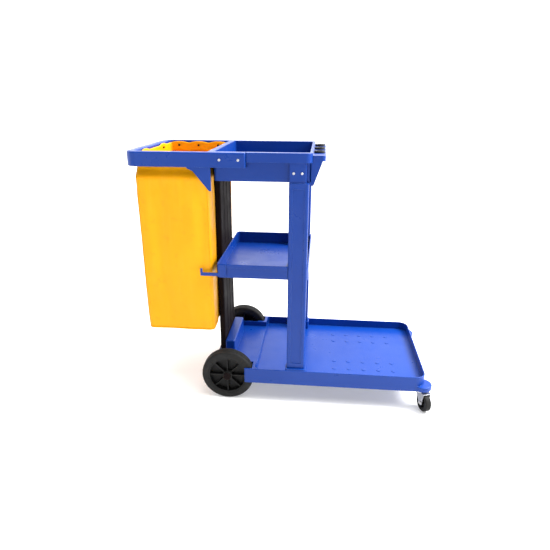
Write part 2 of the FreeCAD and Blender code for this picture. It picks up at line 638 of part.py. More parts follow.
# ---------------------------------------------------------------- front casters
def turned(solid, side):
    """Turn a caster piece, drawn with its wheel trailing towards +X, outwards on its own side."""
    solid = solid.rotate(Vector(CASTER_X, -CASTER_Y, 0), Vector(0, 0, 1), -CASTER_TURN)
    return mirrored(solid, side)


WHEEL_CENTRE = (CASTER_X + CASTER_TRAIL, -CASTER_Y, CASTER_R)


def caster_stem(side):
    """Swivel pin with a flat head below the fork's crown."""
    head = rod((CASTER_X, side * CASTER_Y, 73.2), (0, 0, 1), 9.5, 4.0)
    head = round_level_edges(head, 73.2, 1.6)
    return union([head, rod((CASTER_X, side * CASTER_Y, 74), (0, 0, 1), AXLE_R, 27)])


def caster_insert(side):
    return ring((CASTER_X, side * CASTER_Y, EAR_Z0 + 0.2), (0, 0, 1), INSERT_R, AXLE_R, 15.8)


def caster_raceway(side):
    """Pressed cup that holds the swivel's balls under the ear."""
    cup = rod((CASTER_X, side * CASTER_Y, CROWN_Z + GAP), (0, 0, 1), 23, EAR_Z0 - CROWN_Z - GAP)
    cup = round_level_edges(cup, EAR_Z0, 2.0)
    return cup.cut(rod((CASTER_X, side * CASTER_Y, CROWN_Z - 1), (0, 0, 1), AXLE_R + RUN_FIT, 10))


def caster_fork(side):
    crown = rod((CASTER_X, -CASTER_Y, CROWN_Z - 3), (0, 0, 1), CROWN_R, 3)
    crown = crown.fuse(slab(CASTER_X - 6, CASTER_X + 40, -CASTER_Y - 16.5, -CASTER_Y + 16.5,
                            CROWN_Z - 3, CROWN_Z, (0, 6, 6, 0)))
    legs = []
    cx, _, cz = WHEEL_CENTRE
    for y in (-16.5, 14.0):
        face = -CASTER_Y + y
        blade = [(CASTER_X - 14, face, CROWN_Z - 1), (CASTER_X + 40, face, CROWN_Z - 1),
                 (cx + 11, face, cz), (cx - 9, face, cz - 5), (CASTER_X - 12, face, 66)]
        legs.append(profile(blade, 2.5, (0, 1, 0)))
        legs.append(rod((cx, face, cz), (0, 1, 0), 11, 2.5))
    fork = union([crown] + legs)
    fork = fork.cut(rod((CASTER_X, -CASTER_Y, CROWN_Z - 10), (0, 0, 1), AXLE_R + RUN_FIT, 20))
    fork = fork.cut(rod((cx, -CASTER_Y - 30, cz), (0, 1, 0), 4.0, 60))
    return turned(fork, side)


def caster_axle(side):
    cx, _, cz = WHEEL_CENTRE
    head = rod((cx, -CASTER_Y - 20.5, cz), (0, 1, 0), 7, 3.9)
    head = head.makeFillet(1.5, [e for e in head.Edges if e.BoundBox.YMax < -CASTER_Y - 20.4])
    pin = union([head, rod((cx, -CASTER_Y - 17, cz), (0, 1, 0), 3.95, 40.5)])
    return turned(pin, side)


def caster_nut(side):
    cx, _, cz = WHEEL_CENTRE
    corners = []
    for i in range(6):
        a = math.radians(60 * i)
        corners.append((cx + 7.5 * math.cos(a), -CASTER_Y + 16.8, cz + 7.5 * math.sin(a)))
    nut = profile(corners, 5.5, (0, 1, 0))
    nut = nut.cut(rod((cx, -CASTER_Y + 10, cz), (0, 1, 0), 3.95, 20))
    return turned(nut, side)


def caster_tyre(side):
    cx, _, cz = WHEEL_CENTRE
    tyre = rod((cx, -CASTER_Y - CASTER_WIDTH / 2, cz), (0, 1, 0), CASTER_R, CASTER_WIDTH)
    tyre = tyre.makeFillet(5.0, [e for e in tyre.Edges if e.BoundBox.YLength < 0.1])
    tyre = tyre.cut(rod((cx, -CASTER_Y - 30, cz), (0, 1, 0), 27, 60))
    return turned(tyre, side)


def caster_hub(side):
    cx, _, cz = WHEEL_CENTRE
    hub = union([ring((cx, -CASTER_Y - 10, cz), (0, 1, 0), 27, 22, 20),
                 rod((cx, -CASTER_Y - 2.5, cz), (0, 1, 0), 23, 5),
                 rod((cx, -CASTER_Y - 13.4, cz), (0, 1, 0), 9, 26.8)])
    hub = hub.cut(rod((cx, -CASTER_Y - 30, cz), (0, 1, 0), 4.0, 60))
    return turned(hub, side)


# ---------------------------------------------------------------- write every node
def main():
    export("base_platform", base_platform())
    export("rear_column", rear_column())
    export("top_tray", top_tray())
    export("mid_tray", mid_tray())
    export("tool_rack", tool_rack())
    export("tool_grips", tool_grips())
    export("handle_frame", handle_frame())
    export("bag_pegs", bag_pegs())
    export("bag", bag())
    export("bag_eyelets", bag_eyelets())
    export("zip_tape", zip_tape())
    export("zip_teeth", zip_teeth())
    export("zip_slider", zip_slider())
    export("zip_pull", zip_pull())
    export("side_hooks", side_hooks())
    export("rear_axle", rear_axle())
    export("axle_washers", axle_washers())
    export("post_screws", [screw(*p) for p in POST_SCREWS])
    export("column_screws", [screw(*p) for p in COLUMN_SCREWS + SOCKET_SCREWS])
    export("handle_screws", [screw(*p) for p in HANDLE_SCREWS])
    export("rack_screws", [screw(*p) for p in RACK_SCREWS])
    for side, word in SIDES:
        export("front_post_" + word, front_post(side))
        export("rear_tyre_" + word, rear_tyre(side))
        export("rear_hub_" + word, rear_hub(side))
        export("rear_bush_" + word, rear_bush(side))
        export("axle_cap_" + word, axle_cap(side))
        export("caster_stem_" + word, caster_stem(side))
        export("caster_insert_" + word, caster_insert(side))
        export("caster_raceway_" + word, caster_raceway(side))
        export("caster_fork_" + word, caster_fork(side))
        export("caster_axle_" + word, caster_axle(side))
        export("caster_nut_" + word, caster_nut(side))
        export("caster_tyre_" + word, caster_tyre(side))
        export("caster_hub_" + word, caster_hub(side))


main()
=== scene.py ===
"""Looks of the wheeled cleaning cart: materials for the CAD pieces, the soft vinyl bag, floor, light
and camera. Metres, in the CAD frame: +X to the front of the deck, +Y to the left, +Z up."""

import json
import math

import bmesh
import bpy
from mathutils import Matrix, Vector, noise


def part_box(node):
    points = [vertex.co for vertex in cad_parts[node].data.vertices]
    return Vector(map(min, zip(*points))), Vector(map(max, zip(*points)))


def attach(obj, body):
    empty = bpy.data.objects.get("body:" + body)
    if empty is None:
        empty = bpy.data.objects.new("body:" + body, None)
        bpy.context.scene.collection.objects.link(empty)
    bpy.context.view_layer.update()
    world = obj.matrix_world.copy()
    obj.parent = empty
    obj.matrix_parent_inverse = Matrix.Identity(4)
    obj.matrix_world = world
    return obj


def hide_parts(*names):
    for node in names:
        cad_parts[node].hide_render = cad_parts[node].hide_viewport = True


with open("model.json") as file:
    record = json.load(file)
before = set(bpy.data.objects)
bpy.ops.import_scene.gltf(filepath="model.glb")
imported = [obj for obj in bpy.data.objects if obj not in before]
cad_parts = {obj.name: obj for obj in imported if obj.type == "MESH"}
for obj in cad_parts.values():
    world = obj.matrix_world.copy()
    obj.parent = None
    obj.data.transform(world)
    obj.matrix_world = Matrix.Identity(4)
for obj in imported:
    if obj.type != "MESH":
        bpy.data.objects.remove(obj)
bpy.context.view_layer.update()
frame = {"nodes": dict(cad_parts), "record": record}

FOCAL_MM = 31.71           # on a 36 mm sensor
CAMERA_PLACE = (0.1145, -1.9004, 1.1656)
CAMERA_YAW, CAMERA_PITCH, CAMERA_ROLL = 0.094, 0.357, -0.003
SKY_DIM, SKY_BRIGHT = 0.12, 2.2   # in front of the object and behind it
FLOOR_GLOW = 0.36          # the floor is lit a little from below, like a light table
OVERHEAD = 3.0
FLOOR_REACH = 30.0
FRONT_WATTS = 220.0
KEY_WATTS = 14.0


# ---------------------------------------------------------------- camera, light and floor
def make_camera():
    """The photograph's view: from the right side, a little ahead of the middle and above."""
    yaw, pitch = CAMERA_YAW, CAMERA_PITCH
    forward = Vector((-math.sin(yaw) * math.cos(pitch), math.cos(yaw) * math.cos(pitch), -math.sin(pitch)))
    right = forward.cross(Vector((0, 0, 1))).normalized()
    up = right.cross(forward)
    turn = Matrix.Rotation(CAMERA_ROLL, 3, forward)
    right, up = turn @ right, turn @ up
    data = bpy.data.cameras.new("view")
    data.sensor_width = 36.0
    data.lens = FOCAL_MM
    camera = bpy.data.objects.new("view", data)
    axes = Matrix((right, up, -forward)).transposed()
    camera.matrix_world = Matrix.Translation(CAMERA_PLACE) @ axes.to_4x4()
    bpy.context.scene.collection.objects.link(camera)
    bpy.context.scene.camera = camera


def area_light(name, place, target, size, watts):
    data = bpy.data.lights.new(name, "AREA")
    data.shape = "DISK"
    data.size = size
    data.energy = watts
    lamp = bpy.data.objects.new(name, data)
    way = Vector(target) - Vector(place)
    lamp.rotation_euler = way.to_track_quat("-Z", "Y").to_euler()
    lamp.location = place
    bpy.context.scene.collection.objects.link(lamp)


def sun_light(name, way, spread, strength):
    data = bpy.data.lights.new(name, "SUN")
    data.angle = math.radians(spread)
    data.energy = strength
    lamp = bpy.data.objects.new(name, data)
    lamp.rotation_euler = Vector(way).to_track_quat("-Z", "Y").to_euler()
    bpy.context.scene.collection.objects.link(lamp)


def make_sky():
    """White backdrop; what lights the object is bright behind it and dim on the viewer's side."""
    world = bpy.data.worlds.new("studio")
    world.use_nodes = True
    nodes, links = world.node_tree.nodes, world.node_tree.links
    sky = nodes["Background"]
    sky.inputs["Color"].default_value = (1.0, 1.0, 1.0, 1.0)
    way = nodes.new("ShaderNodeSeparateXYZ")
    links.new(nodes.new("ShaderNodeTexCoord").outputs["Generated"], way.inputs["Vector"])
    spread = nodes.new("ShaderNodeMapRange")
    spread.interpolation_type = "SMOOTHSTEP"
    spread.inputs["From Min"].default_value = -0.6
    spread.inputs["From Max"].default_value = 0.5
    spread.inputs["To Min"].default_value = SKY_DIM
    spread.inputs["To Max"].default_value = SKY_BRIGHT
    links.new(way.outputs["Y"], spread.inputs["Value"])
    seen = nodes.new("ShaderNodeMath")
    seen.operation = "MAXIMUM"
    links.new(spread.outputs["Result"], seen.inputs[0])
    links.new(nodes.new("ShaderNodeLightPath").outputs["Is Camera Ray"], seen.inputs[1])
    links.new(seen.outputs["Value"], sky.inputs["Strength"])
    return world


def make_studio():
    scene = bpy.context.scene
    scene.view_settings.view_transform = "Standard"
    scene.world = make_sky()
    sun_light("overhead", (-0.30, 0.08, -1.0), 50.0, OVERHEAD)
    area_light("front_box", (2.5, 0.0, 2.5), (0.25, 0.0, 0.1), 1.6, FRONT_WATTS)
    area_light("key", (-1.8, -3.0, 1.5), (-0.2, 0.0, 0.5), 1.4, KEY_WATTS)

    mesh = bpy.data.meshes.new("floor")
    reach = FLOOR_REACH
    mesh.from_pydata([(-reach, -reach, 0), (reach, -reach, 0), (reach, reach, 0), (-reach, reach, 0)],
                     [], [(0, 1, 2, 3)])
    floor = bpy.data.objects.new("floor", mesh)
    scene.collection.objects.link(floor)
    mat = Material("floor_pale")
    speck = mat.noise(scale=3.0, detail=2.0)
    mat.colour(mat.ramp(speck, (0.3, 0.7), ((0.66, 0.66, 0.66), (0.70, 0.70, 0.70))))
    mat.set("Roughness", 0.9)
    mat.set("Emission Color", (1.0, 1.0, 1.0, 1.0))
    mat.set("Emission Strength", FLOOR_GLOW)
    mesh.materials.append(mat.data)


# ---------------------------------------------------------------- materials
class Material:
    """A node material on the object's own coordinates, in metres."""

    def __init__(self, name):
        self.data = bpy.data.materials.new(name)
        self.data.use_nodes = True
        self.nodes = self.data.node_tree.nodes
        self.links = self.data.node_tree.links
        self.shader = self.nodes["Principled BSDF"]
        self.place = self.nodes.new("ShaderNodeTexCoord").outputs["Object"]

    def set(self, socket, value):
        self.shader.inputs[socket].default_value = value

    def link(self, source, socket):
        self.links.new(source, self.shader.inputs[socket])

    def stretched(self, scale, turn=(0.0, 0.0, 0.0)):
        """Coordinates stretched along the axes, for grain and brushed metal."""
        node = self.nodes.new("ShaderNodeMapping")
        node.inputs["Scale"].default_value = scale
        node.inputs["Rotation"].default_value = turn
        self.links.new(self.place, node.inputs["Vector"])
        return node.outputs["Vector"]

    def noise(self, scale, detail=3.0, rough=0.5, place=None):
        node = self.nodes.new("ShaderNodeTexNoise")
        node.inputs["Scale"].default_value = scale
        node.inputs["Detail"].default_value = detail
        node.inputs["Roughness"].default_value = rough
        self.links.new(place or self.place, node.inputs["Vector"])
        return node.outputs["Fac"]

    def cells(self, scale, place=None):
        node = self.nodes.new("ShaderNodeTexVoronoi")
        node.inputs["Scale"].default_value = scale
        self.links.new(place or self.place, node.inputs["Vector"])
        return node.outputs["Distance"]

    def wave(self, scale, axis, distortion=0.0):
        node = self.nodes.new("ShaderNodeTexWave")
        node.bands_direction = axis
        node.inputs["Scale"].default_value = scale
        node.inputs["Distortion"].default_value = distortion
        self.links.new(self.place, node.inputs["Vector"])
        return node.outputs["Fac"]

    def ramp(self, source, stops, colours):
        node = self.nodes.new("ShaderNodeValToRGB")
        for i, (stop, colour) in enumerate(zip(stops, colours)):
            element = node.color_ramp.elements[i] if i < 2 else node.color_ramp.elements.new(stop)
            element.position = stop
            if not isinstance(colour, tuple):
                colour = (colour, colour, colour)
            element.color = (*colour, 1.0)
        self.links.new(source, node.inputs["Fac"])
        return node.outputs["Color"]

    def math(self, kind, a, b):
        node = self.nodes.new("ShaderNodeMath")
        node.operation = kind
        for i, value in enumerate((a, b)):
            if isinstance(value, (int, float)):
                node.inputs[i].default_value = value
            else:
                self.links.new(value, node.inputs[i])
        return node.outputs["Value"]

    def mix(self, factor, first, second):
        """first where factor is 0, second where it is 1."""
        node = self.nodes.new("ShaderNodeMix")
        node.data_type = "RGBA"
        self.links.new(factor, node.inputs["Factor"])
        for name, value in (("A", first), ("B", second)):
            socket = next(s for s in node.inputs if s.name == name and s.type == "RGBA")
            if isinstance(value, tuple):
                socket.default_value = (*value, 1.0)
            else:
                self.links.new(value, socket)
        return next(s for s in node.outputs if s.type == "RGBA")

    def edges(self, radius):
        """1 along sharp edges, 0 on flat faces."""
        bevel = self.nodes.new("ShaderNodeBevel")
        bevel.samples = 4
        bevel.inputs["Radius"].default_value = radius
        normal = self.nodes.new("ShaderNodeNewGeometry").outputs["Normal"]
        dot = self.nodes.new("ShaderNodeVectorMath")
        dot.operation = "DOT_PRODUCT"
        self.links.new(bevel.outputs["Normal"], dot.inputs[0])
        self.links.new(normal, dot.inputs[1])
        return self.math("SUBTRACT", 1.0, dot.outputs["Value"])

    def crevices(self, distance):
        """Low in corners and under ledges, 1 in the open."""
        node = self.nodes.new("ShaderNodeAmbientOcclusion")
        node.samples = 6
        node.inputs["Distance"].default_value = distance
        return node.outputs["AO"]

    def colour(self, source):
        self.link(source, "Base Color")

    def bump(self, *layers, bevel=0.0):
        """Stack of (height, distance in metres) layers, over softly rounded edges."""
        below = None
        if bevel > 0:
            node = self.nodes.new("ShaderNodeBevel")
            node.samples = 4
            node.inputs["Radius"].default_value = bevel
            below = node.outputs["Normal"]
        for height, distance in layers:
            node = self.nodes.new("ShaderNodeBump")
            node.inputs["Distance"].default_value = distance
            node.inputs["Strength"].default_value = 1.0
            self.links.new(height, node.inputs["Height"])
            if below is not None:
                self.links.new(below, node.inputs["Normal"])
            below = node.outputs["Normal"]
        self.link(below, "Normal")


def moulded_plastic(name, base, deep, worn, roughness, shine=0.5, bevel=0.0012):
    """Moulded plastic: spark-eroded grain, slight flow marks, rubbed edges, fine scuffs and painted shade
    in crevices.
    """
    mat = Material(name)
    flow = mat.noise(2.6, 3.0)
    tone = mat.ramp(flow, (0.3, 0.72), (deep, base))
    edge = mat.ramp(mat.edges(0.004), (0.02, 0.32), (0.0, 1.0))
    patch = mat.ramp(mat.noise(38.0, 4.0, 0.65), (0.42, 0.72), (0.0, 0.75))
    rubbed = mat.mix(mat.math("MULTIPLY", edge, patch), tone, worn)
    scratches = mat.noise(90.0, 2.0, 0.6, mat.stretched((1.0, 1.0, 14.0), (0.5, 0.3, 0.9)))
    scuffs = mat.noise(110.0, 2.0, 0.6, mat.stretched((10.0, 1.0, 1.0), (0.2, 0.5, 0.4)))
    fine = mat.math("MAXIMUM", mat.ramp(scratches, (0.66, 0.74), (0.0, 0.14)),
                    mat.ramp(scuffs, (0.67, 0.75), (0.0, 0.12)))
    where = mat.ramp(mat.noise(7.0, 2.0), (0.48, 0.66), (0.0, 1.0))
    scuffed = mat.mix(mat.math("MULTIPLY", fine, where), rubbed, worn)
    # painted shade: the ambient-occlusion mask darkens the colour, in patches, in corners and under ledges
    crevice_shade = mat.ramp(mat.crevices(0.05), (0.25, 0.8), (0.30, 0.0))
    patchy_crevice_shade = mat.math("MULTIPLY", crevice_shade, mat.ramp(mat.noise(22.0, 4.0), (0.35, 0.7), (0.25, 1.0)))
    shade_colour = tuple(0.42 * c for c in deep)
    mat.colour(mat.mix(patchy_crevice_shade, scuffed, shade_colour))
    gloss = mat.ramp(mat.noise(14.0, 4.0, 0.6), (0.3, 0.7), (roughness - 0.06, roughness + 0.09))
    mat.link(gloss, "Roughness")
    mat.set("IOR", 1.49)
    mat.set("Specular IOR Level", shine)
    grain = mat.noise(1500.0, 2.0, 0.55)
    mat.bump((grain, 0.00009), (scratches, 0.00002), (flow, 0.0012), bevel=bevel)
    return mat.data


def rubber(name, base, worn, grain_size, roughness, bevel=0.0015):
    mat = Material(name)
    dust = mat.ramp(mat.noise(26.0, 5.0, 0.65), (0.45, 0.8), (0.0, 0.45))
    edge = mat.ramp(mat.edges(0.005), (0.02, 0.3), (0.0, 0.35))
    mat.colour(mat.mix(mat.math("MAXIMUM", dust, edge), base, worn))
    mat.link(mat.ramp(mat.noise(40.0, 3.0), (0.3, 0.7), (roughness - 0.07, roughness + 0.07)), "Roughness")
    mat.set("Specular IOR Level", 0.3)
    mat.bump((mat.noise(grain_size, 3.0, 0.6), 0.00022), (mat.cells(260.0), 0.00008), bevel=bevel)
    return mat.data


def metal(name, base, stain, roughness, stretch=(1.0, 1.0, 30.0), bevel=0.0004):
    """Plated or brushed metal with drawn lines and faint stains."""
    mat = Material(name)
    lines = mat.noise(420.0, 3.0, 0.6, mat.stretched(stretch))
    spots = mat.ramp(mat.noise(95.0, 4.0, 0.6), (0.45, 0.75), (0.0, 0.8))
    mat.colour(mat.mix(spots, mat.ramp(lines, (0.3, 0.7), (tuple(0.86 * c for c in base), base)), stain))
    mat.link(mat.ramp(lines, (0.25, 0.75), (roughness - 0.08, roughness + 0.12)), "Roughness")
    mat.set("Metallic", 1.0)
    mat.bump((lines, 0.00003), (mat.noise(160.0, 2.0), 0.00006), bevel=bevel)
    return mat.data


def vinyl(name, base, deep, soil_and_shade_colour):
    """Coated cloth: the weave shows faintly through a soft glossy skin."""
    mat = Material(name)
    tone = mat.ramp(mat.noise(4.5, 4.0, 0.55), (0.28, 0.74), (deep, base))
    streak = mat.noise(16.0, 4.0, 0.6, mat.stretched((3.0, 3.0, 0.35)))
    pale = tuple(min(1.0, 1.12 * c + 0.02) for c in base)
    faded = mat.mix(mat.ramp(streak, (0.5, 0.8), (0.0, 0.28)), tone, pale)
    # painted shade: the ambient-occlusion mask darkens the vinyl in creases and where it meets other
    # parts; the noise marks are smudges
    corner = mat.ramp(mat.crevices(0.035), (0.3, 0.85), (0.5, 0.0))
    marks = mat.ramp(mat.noise(30.0, 5.0, 0.7), (0.58, 0.78), (0.0, 0.35))
    mat.colour(mat.mix(mat.math("MAXIMUM", corner, marks), faded, soil_and_shade_colour))
    mat.link(mat.ramp(mat.noise(24.0, 4.0), (0.3, 0.7), (0.33, 0.47)), "Roughness")
    mat.set("Coat Weight", 0.02)
    mat.set("Coat Roughness", 0.3)
    mat.set("Specular IOR Level", 0.15)
    mat.set("Subsurface Weight", 0.06)
    mat.set("Subsurface Radius", (0.004, 0.002, 0.0006))
    rows = mat.math("MAXIMUM", mat.wave(280.0, "Z"), mat.wave(200.0, "DIAGONAL"))
    mat.bump((rows, 0.00005), (mat.noise(1900.0, 2.0), 0.00004), (mat.noise(34.0, 3.0), 0.0011))
    return mat.data


def woven_tape(name, base, deep):
    mat = Material(name)
    threads = mat.math("MULTIPLY", mat.wave(420.0, "Z"), mat.wave(300.0, "Y"))
    mat.colour(mat.ramp(threads, (0.1, 0.8), (deep, base)))
    mat.link(mat.ramp(mat.noise(60.0), (0.3, 0.7), (0.72, 0.9)), "Roughness")
    mat.set("Sheen Weight", 0.3)
    mat.bump((threads, 0.00012))
    return mat.data


def make_materials():
    """One material for each of the record's slots."""
    return {
        "blue_plastic": moulded_plastic("moulded_blue", (0.003, 0.042, 0.275), (0.002, 0.034, 0.238),
                                        (0.04, 0.12, 0.38), 0.32, shine=0.26),
        # painted shade: the rear column is blue plastic; this near-black colour stands for the shade it
        # sits in
        "dark_plastic": moulded_plastic("moulded_shade_dark", (0.008, 0.004, 0.004), (0.006, 0.003, 0.003),
                                        (0.024, 0.019, 0.019), 0.72, shine=0.08),
        "hub_plastic": moulded_plastic("moulded_hub", (0.007, 0.007, 0.007), (0.005, 0.005, 0.005),
                                       (0.035, 0.035, 0.035), 0.5, shine=0.18),
        "nylon": moulded_plastic("nylon", (0.72, 0.71, 0.66), (0.62, 0.61, 0.56), (0.8, 0.8, 0.76), 0.45),
        "black_rubber": rubber("grip_rubber", (0.016, 0.016, 0.017), (0.07, 0.07, 0.07), 700.0, 0.62),
        "tyre": rubber("tyre_rubber", (0.005, 0.005, 0.005), (0.026, 0.025, 0.023), 420.0, 0.72),
        "steel": metal("plated_steel", (0.66, 0.66, 0.68), (0.40, 0.38, 0.35), 0.28),
        "zinc": metal("pressed_zinc", (0.56, 0.57, 0.60), (0.36, 0.36, 0.37), 0.36, (1.0, 1.0, 1.0)),
        "brass": metal("brass", (0.74, 0.55, 0.22), (0.42, 0.28, 0.12), 0.3),
        "yellow_vinyl": vinyl("yellow_vinyl", (0.90, 0.395, 0.002), (0.84, 0.350, 0.0015),
                              (0.40, 0.18, 0.006)),
        "zip_cloth": woven_tape("zip_tape", (0.80, 0.44, 0.02), (0.45, 0.22, 0.01)),
    }


def dress_cad(materials):
    """Give each CAD node its slot's material."""
    slots = {s["node"]: s["material_slot"] for s in frame["record"]["subparts"]}
    for name, piece in frame["nodes"].items():
        for holder in piece.material_slots:
            holder.material = materials[slots[name]]


# ---------------------------------------------------------------- bag
BAG_LOW, BAG_HIGH = (Vector(corner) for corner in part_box("bag"))
COLUMN_LOW, COLUMN_HIGH = (Vector(corner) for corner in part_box("rear_column"))
HEM_DEPTH = 0.038
SKIN = 0.0014
NECK_HALF = 0.209
SHOULDER_LOW, SHOULDER_HIGH = 0.884, 0.926   # heights between which the bag narrows to its neck
CORNER_R, NECK_CORNER_R = 0.020, 0.016
COLUMN_CLEAR = 0.0042
BROAD_FOLD, NARROW_FOLD = 0.0030, 0.0023     # depths of the drape
PEG_CREASE, FOOT_DENT = 0.0042, 0.0019
SIDE_LEAN, END_LEAN = 0.0038, 0.0056
NECK_REAR, NECK_FRONT = BAG_LOW.x + 0.0053, COLUMN_LOW.x - 0.0033
PEG_X = (-0.500, -0.415, -0.330)
PEG_Y = (-0.105, 0.105)
PEG_DROP = 0.016           # pegs sit this far below the hem's top edge


def smooth(value, low, high):
    t = min(1.0, max(0.0, (value - low) / (high - low)))
    return t * t * (3.0 - 2.0 * t)


def blend_value(a, b, t):
    return a + (b - a) * t


def bag_section(z):
    """Rear x, front x, half width and corner radius of the bag at height z."""
    neck = smooth(z, SHOULDER_LOW, SHOULDER_HIGH)
    low = 1.0 - smooth(z, BAG_LOW.z, 0.880)
    rear = blend_value(BAG_LOW.x + 0.001 * low, NECK_REAR, neck)
    front = blend_value(BAG_HIGH.x - 0.004 - 0.003 * low, NECK_FRONT, neck)
    half = blend_value(BAG_HIGH.y - 0.006 * low, NECK_HALF, neck)
    radius = blend_value(CORNER_R, NECK_CORNER_R, neck)
    foot = 1.0 - smooth(z, BAG_LOW.z, BAG_LOW.z + 0.024)
    pull = 0.008 * foot * foot
    return rear + pull, front - pull, half - pull, radius + 0.5 * pull


def outline_columns():
    """Where the bag's columns of points stand: a list of (side, fraction along that side)."""
    counts = (("front", 60), ("corner0", 9), ("left", 38), ("corner1", 9),
              ("rear", 60), ("corner2", 9), ("right", 38), ("corner3", 9))
    columns = []
    for side, count in counts:
        for i in range(count):
            columns.append((side, i / count))
    return columns


def outline_point(side, t, z):
    """Point on the bag's smooth section and its outward direction."""
    rear, front, half, r = bag_section(z)
    centres = {"corner0": (front - r, half - r, 0), "corner1": (rear + r, half - r, 90),
               "corner2": (rear + r, -half + r, 180), "corner3": (front - r, -half + r, 270)}
    if side in centres:
        cx, cy, start = centres[side]
        a = math.radians(start + 90 * t)
        outward = Vector((math.cos(a), math.sin(a), 0))
        return Vector((cx + r * math.cos(a), cy + r * math.sin(a), z)), outward
    if side == "front":
        return Vector((front, blend_value(-half + r, half - r, t), z)), Vector((1, 0, 0))
    if side == "left":
        return Vector((blend_value(front - r, rear + r, t), half, z)), Vector((0, 1, 0))
    if side == "rear":
        return Vector((rear, blend_value(half - r, -half + r, t), z)), Vector((-1, 0, 0))
    return Vector((blend_value(rear + r, front - r, t), -half, z)), Vector((0, -1, 0))


def peg_distance(point, outward):
    """Distance along the face from the nearest peg, and the sideways part of it."""
    best = (9.0, 0.0)
    along_x = abs(outward.y) > 0.7
    for peg in (PEG_X if along_x else PEG_Y):
        side = (point.x if along_x else point.y) - peg
        down = (BAG_HIGH.z - PEG_DROP) - point.z
        far = math.hypot(side, down)
        if far < best[0]:
            best = (far, side)
    return best


def zip_calm(point, outward):
    """0 on the strip behind the zip, which stays flat, and 1 away from it."""
    if outward.x > -0.5:
        return 1.0
    return smooth(abs(point.y), 0.018, 0.060)


def fold_depth(point, outward):
    """How far the vinyl lies inwards of its smooth section at a point; below 0 it bulges a little."""
    below_rail = smooth(BAG_HIGH.z - point.z, 0.03, 0.13)
    above_foot = smooth(point.z, BAG_LOW.z, BAG_LOW.z + 0.12)
    on_side = abs(outward.y) > 0.7
    along = point.x if on_side else point.y
    phase = 3.1 if outward.y > 0.7 else (0.0 if outward.y < -0.7 else 5.7)
    warp = noise.noise(Vector((point.x * 2.2, point.y * 2.2, point.z * 1.3 + phase)))
    wander = noise.noise(Vector((point.x * 5.0, point.y * 5.0, point.z * 3.1 + 7.0)))
    broad = math.sin(along * 41.0 + 3.2 * warp + phase)
    narrow = math.sin(along * 88.0 + 5.0 * warp + 2.0 * wander + 1.7 * phase + point.z * 2.2)
    patch = smooth(noise.noise(Vector((along * 9.0, phase, point.z * 3.4))), -0.35, 0.45)
    drape = (BROAD_FOLD * broad + NARROW_FOLD * narrow * patch) * below_rail * (0.4 + 0.6 * above_foot)
    # long slanting creases pulled from the pegs
    far, side = peg_distance(point, outward)
    slant = math.sin(side * 150.0 / (0.35 + 9.0 * max(far, 0.01)) + 2.0 * warp)
    pulled = PEG_CREASE * max(0.0, slant) * math.exp(-far / 0.17) * below_rail
    # short creases where the corners of the foot are folded
    crumple = noise.fractal(Vector((point.x * 13.0, point.y * 13.0, point.z * 19.0)), 1.0, 2.0, 4)
    dents = FOOT_DENT * max(0.0, crumple + 0.15) * (1.15 - 0.8 * above_foot)
    lean = SIDE_LEAN if on_side else END_LEAN
    return (lean * below_rail + drape + pulled + dents) * zip_calm(point, outward)


def column_room(point):
    """Keep the front face clear of the rear column."""
    limit = COLUMN_LOW.x - COLUMN_CLEAR
    edge = COLUMN_HIGH.y + 0.004
    if point.x <= limit:
        return point
    inside = 1.0 - smooth(abs(point.y), edge, edge + 0.022)
    return Vector((blend_value(point.x, limit, inside), point.y, point.z))


def bag_point(side, t, z, inset=0.0):
    point, outward = outline_point(side, t, z)
    point = point - outward * (fold_depth(point, outward) + inset)
    return column_room(point)


def hem_drop(side, t):
    """The hem's top edge sags a little between pegs."""
    point, outward = outline_point(side, t, BAG_HIGH.z)
    across = peg_distance(Vector((point.x, point.y, BAG_HIGH.z - PEG_DROP)), outward)[1]
    return 0.0065 * smooth(abs(across), 0.008, 0.050)


def grid_mesh(name, rows):
    """Quads through rows of points, each row closed on itself."""
    mesh = bpy.data.meshes.new(name)
    width = len(rows[0])
    points = [p for row in rows for p in row]
    faces = []
    for i in range(len(rows) - 1):
        for j in range(width):
            k = (j + 1) % width
            faces.append((i * width + j, i * width + k, (i + 1) * width + k, (i + 1) * width + j))
    mesh.from_pydata([tuple(p) for p in points], [], faces)
    return mesh


def add_object(name, mesh, material):
    piece = bpy.data.objects.new(name, mesh)
    bpy.context.scene.collection.objects.link(piece)
    mesh.materials.append(material)
    for face in mesh.polygons:
        face.use_smooth = True
    return piece


def apply_modifiers(piece):
    """Turn the piece's modifiers into plain mesh."""
    graph = bpy.context.evaluated_depsgraph_get()
    graph.update()
    mesh = bpy.data.meshes.new_from_object(piece.evaluated_get(graph))
    piece.modifiers.clear()
    piece.data = mesh


def thicken(piece, thickness):
    """Give a one-sheet piece its thickness, inwards."""
    mod = piece.modifiers.new("thickness", "SOLIDIFY")
    mod.thickness = thickness
    mod.offset = -1.0
    mod.use_even_offset = False
    apply_modifiers(piece)


def face_outwards(mesh):
    work = bmesh.new()
    work.from_mesh(mesh)
    bmesh.ops.recalc_face_normals(work, faces=work.faces)
    work.to_mesh(mesh)
    work.free()


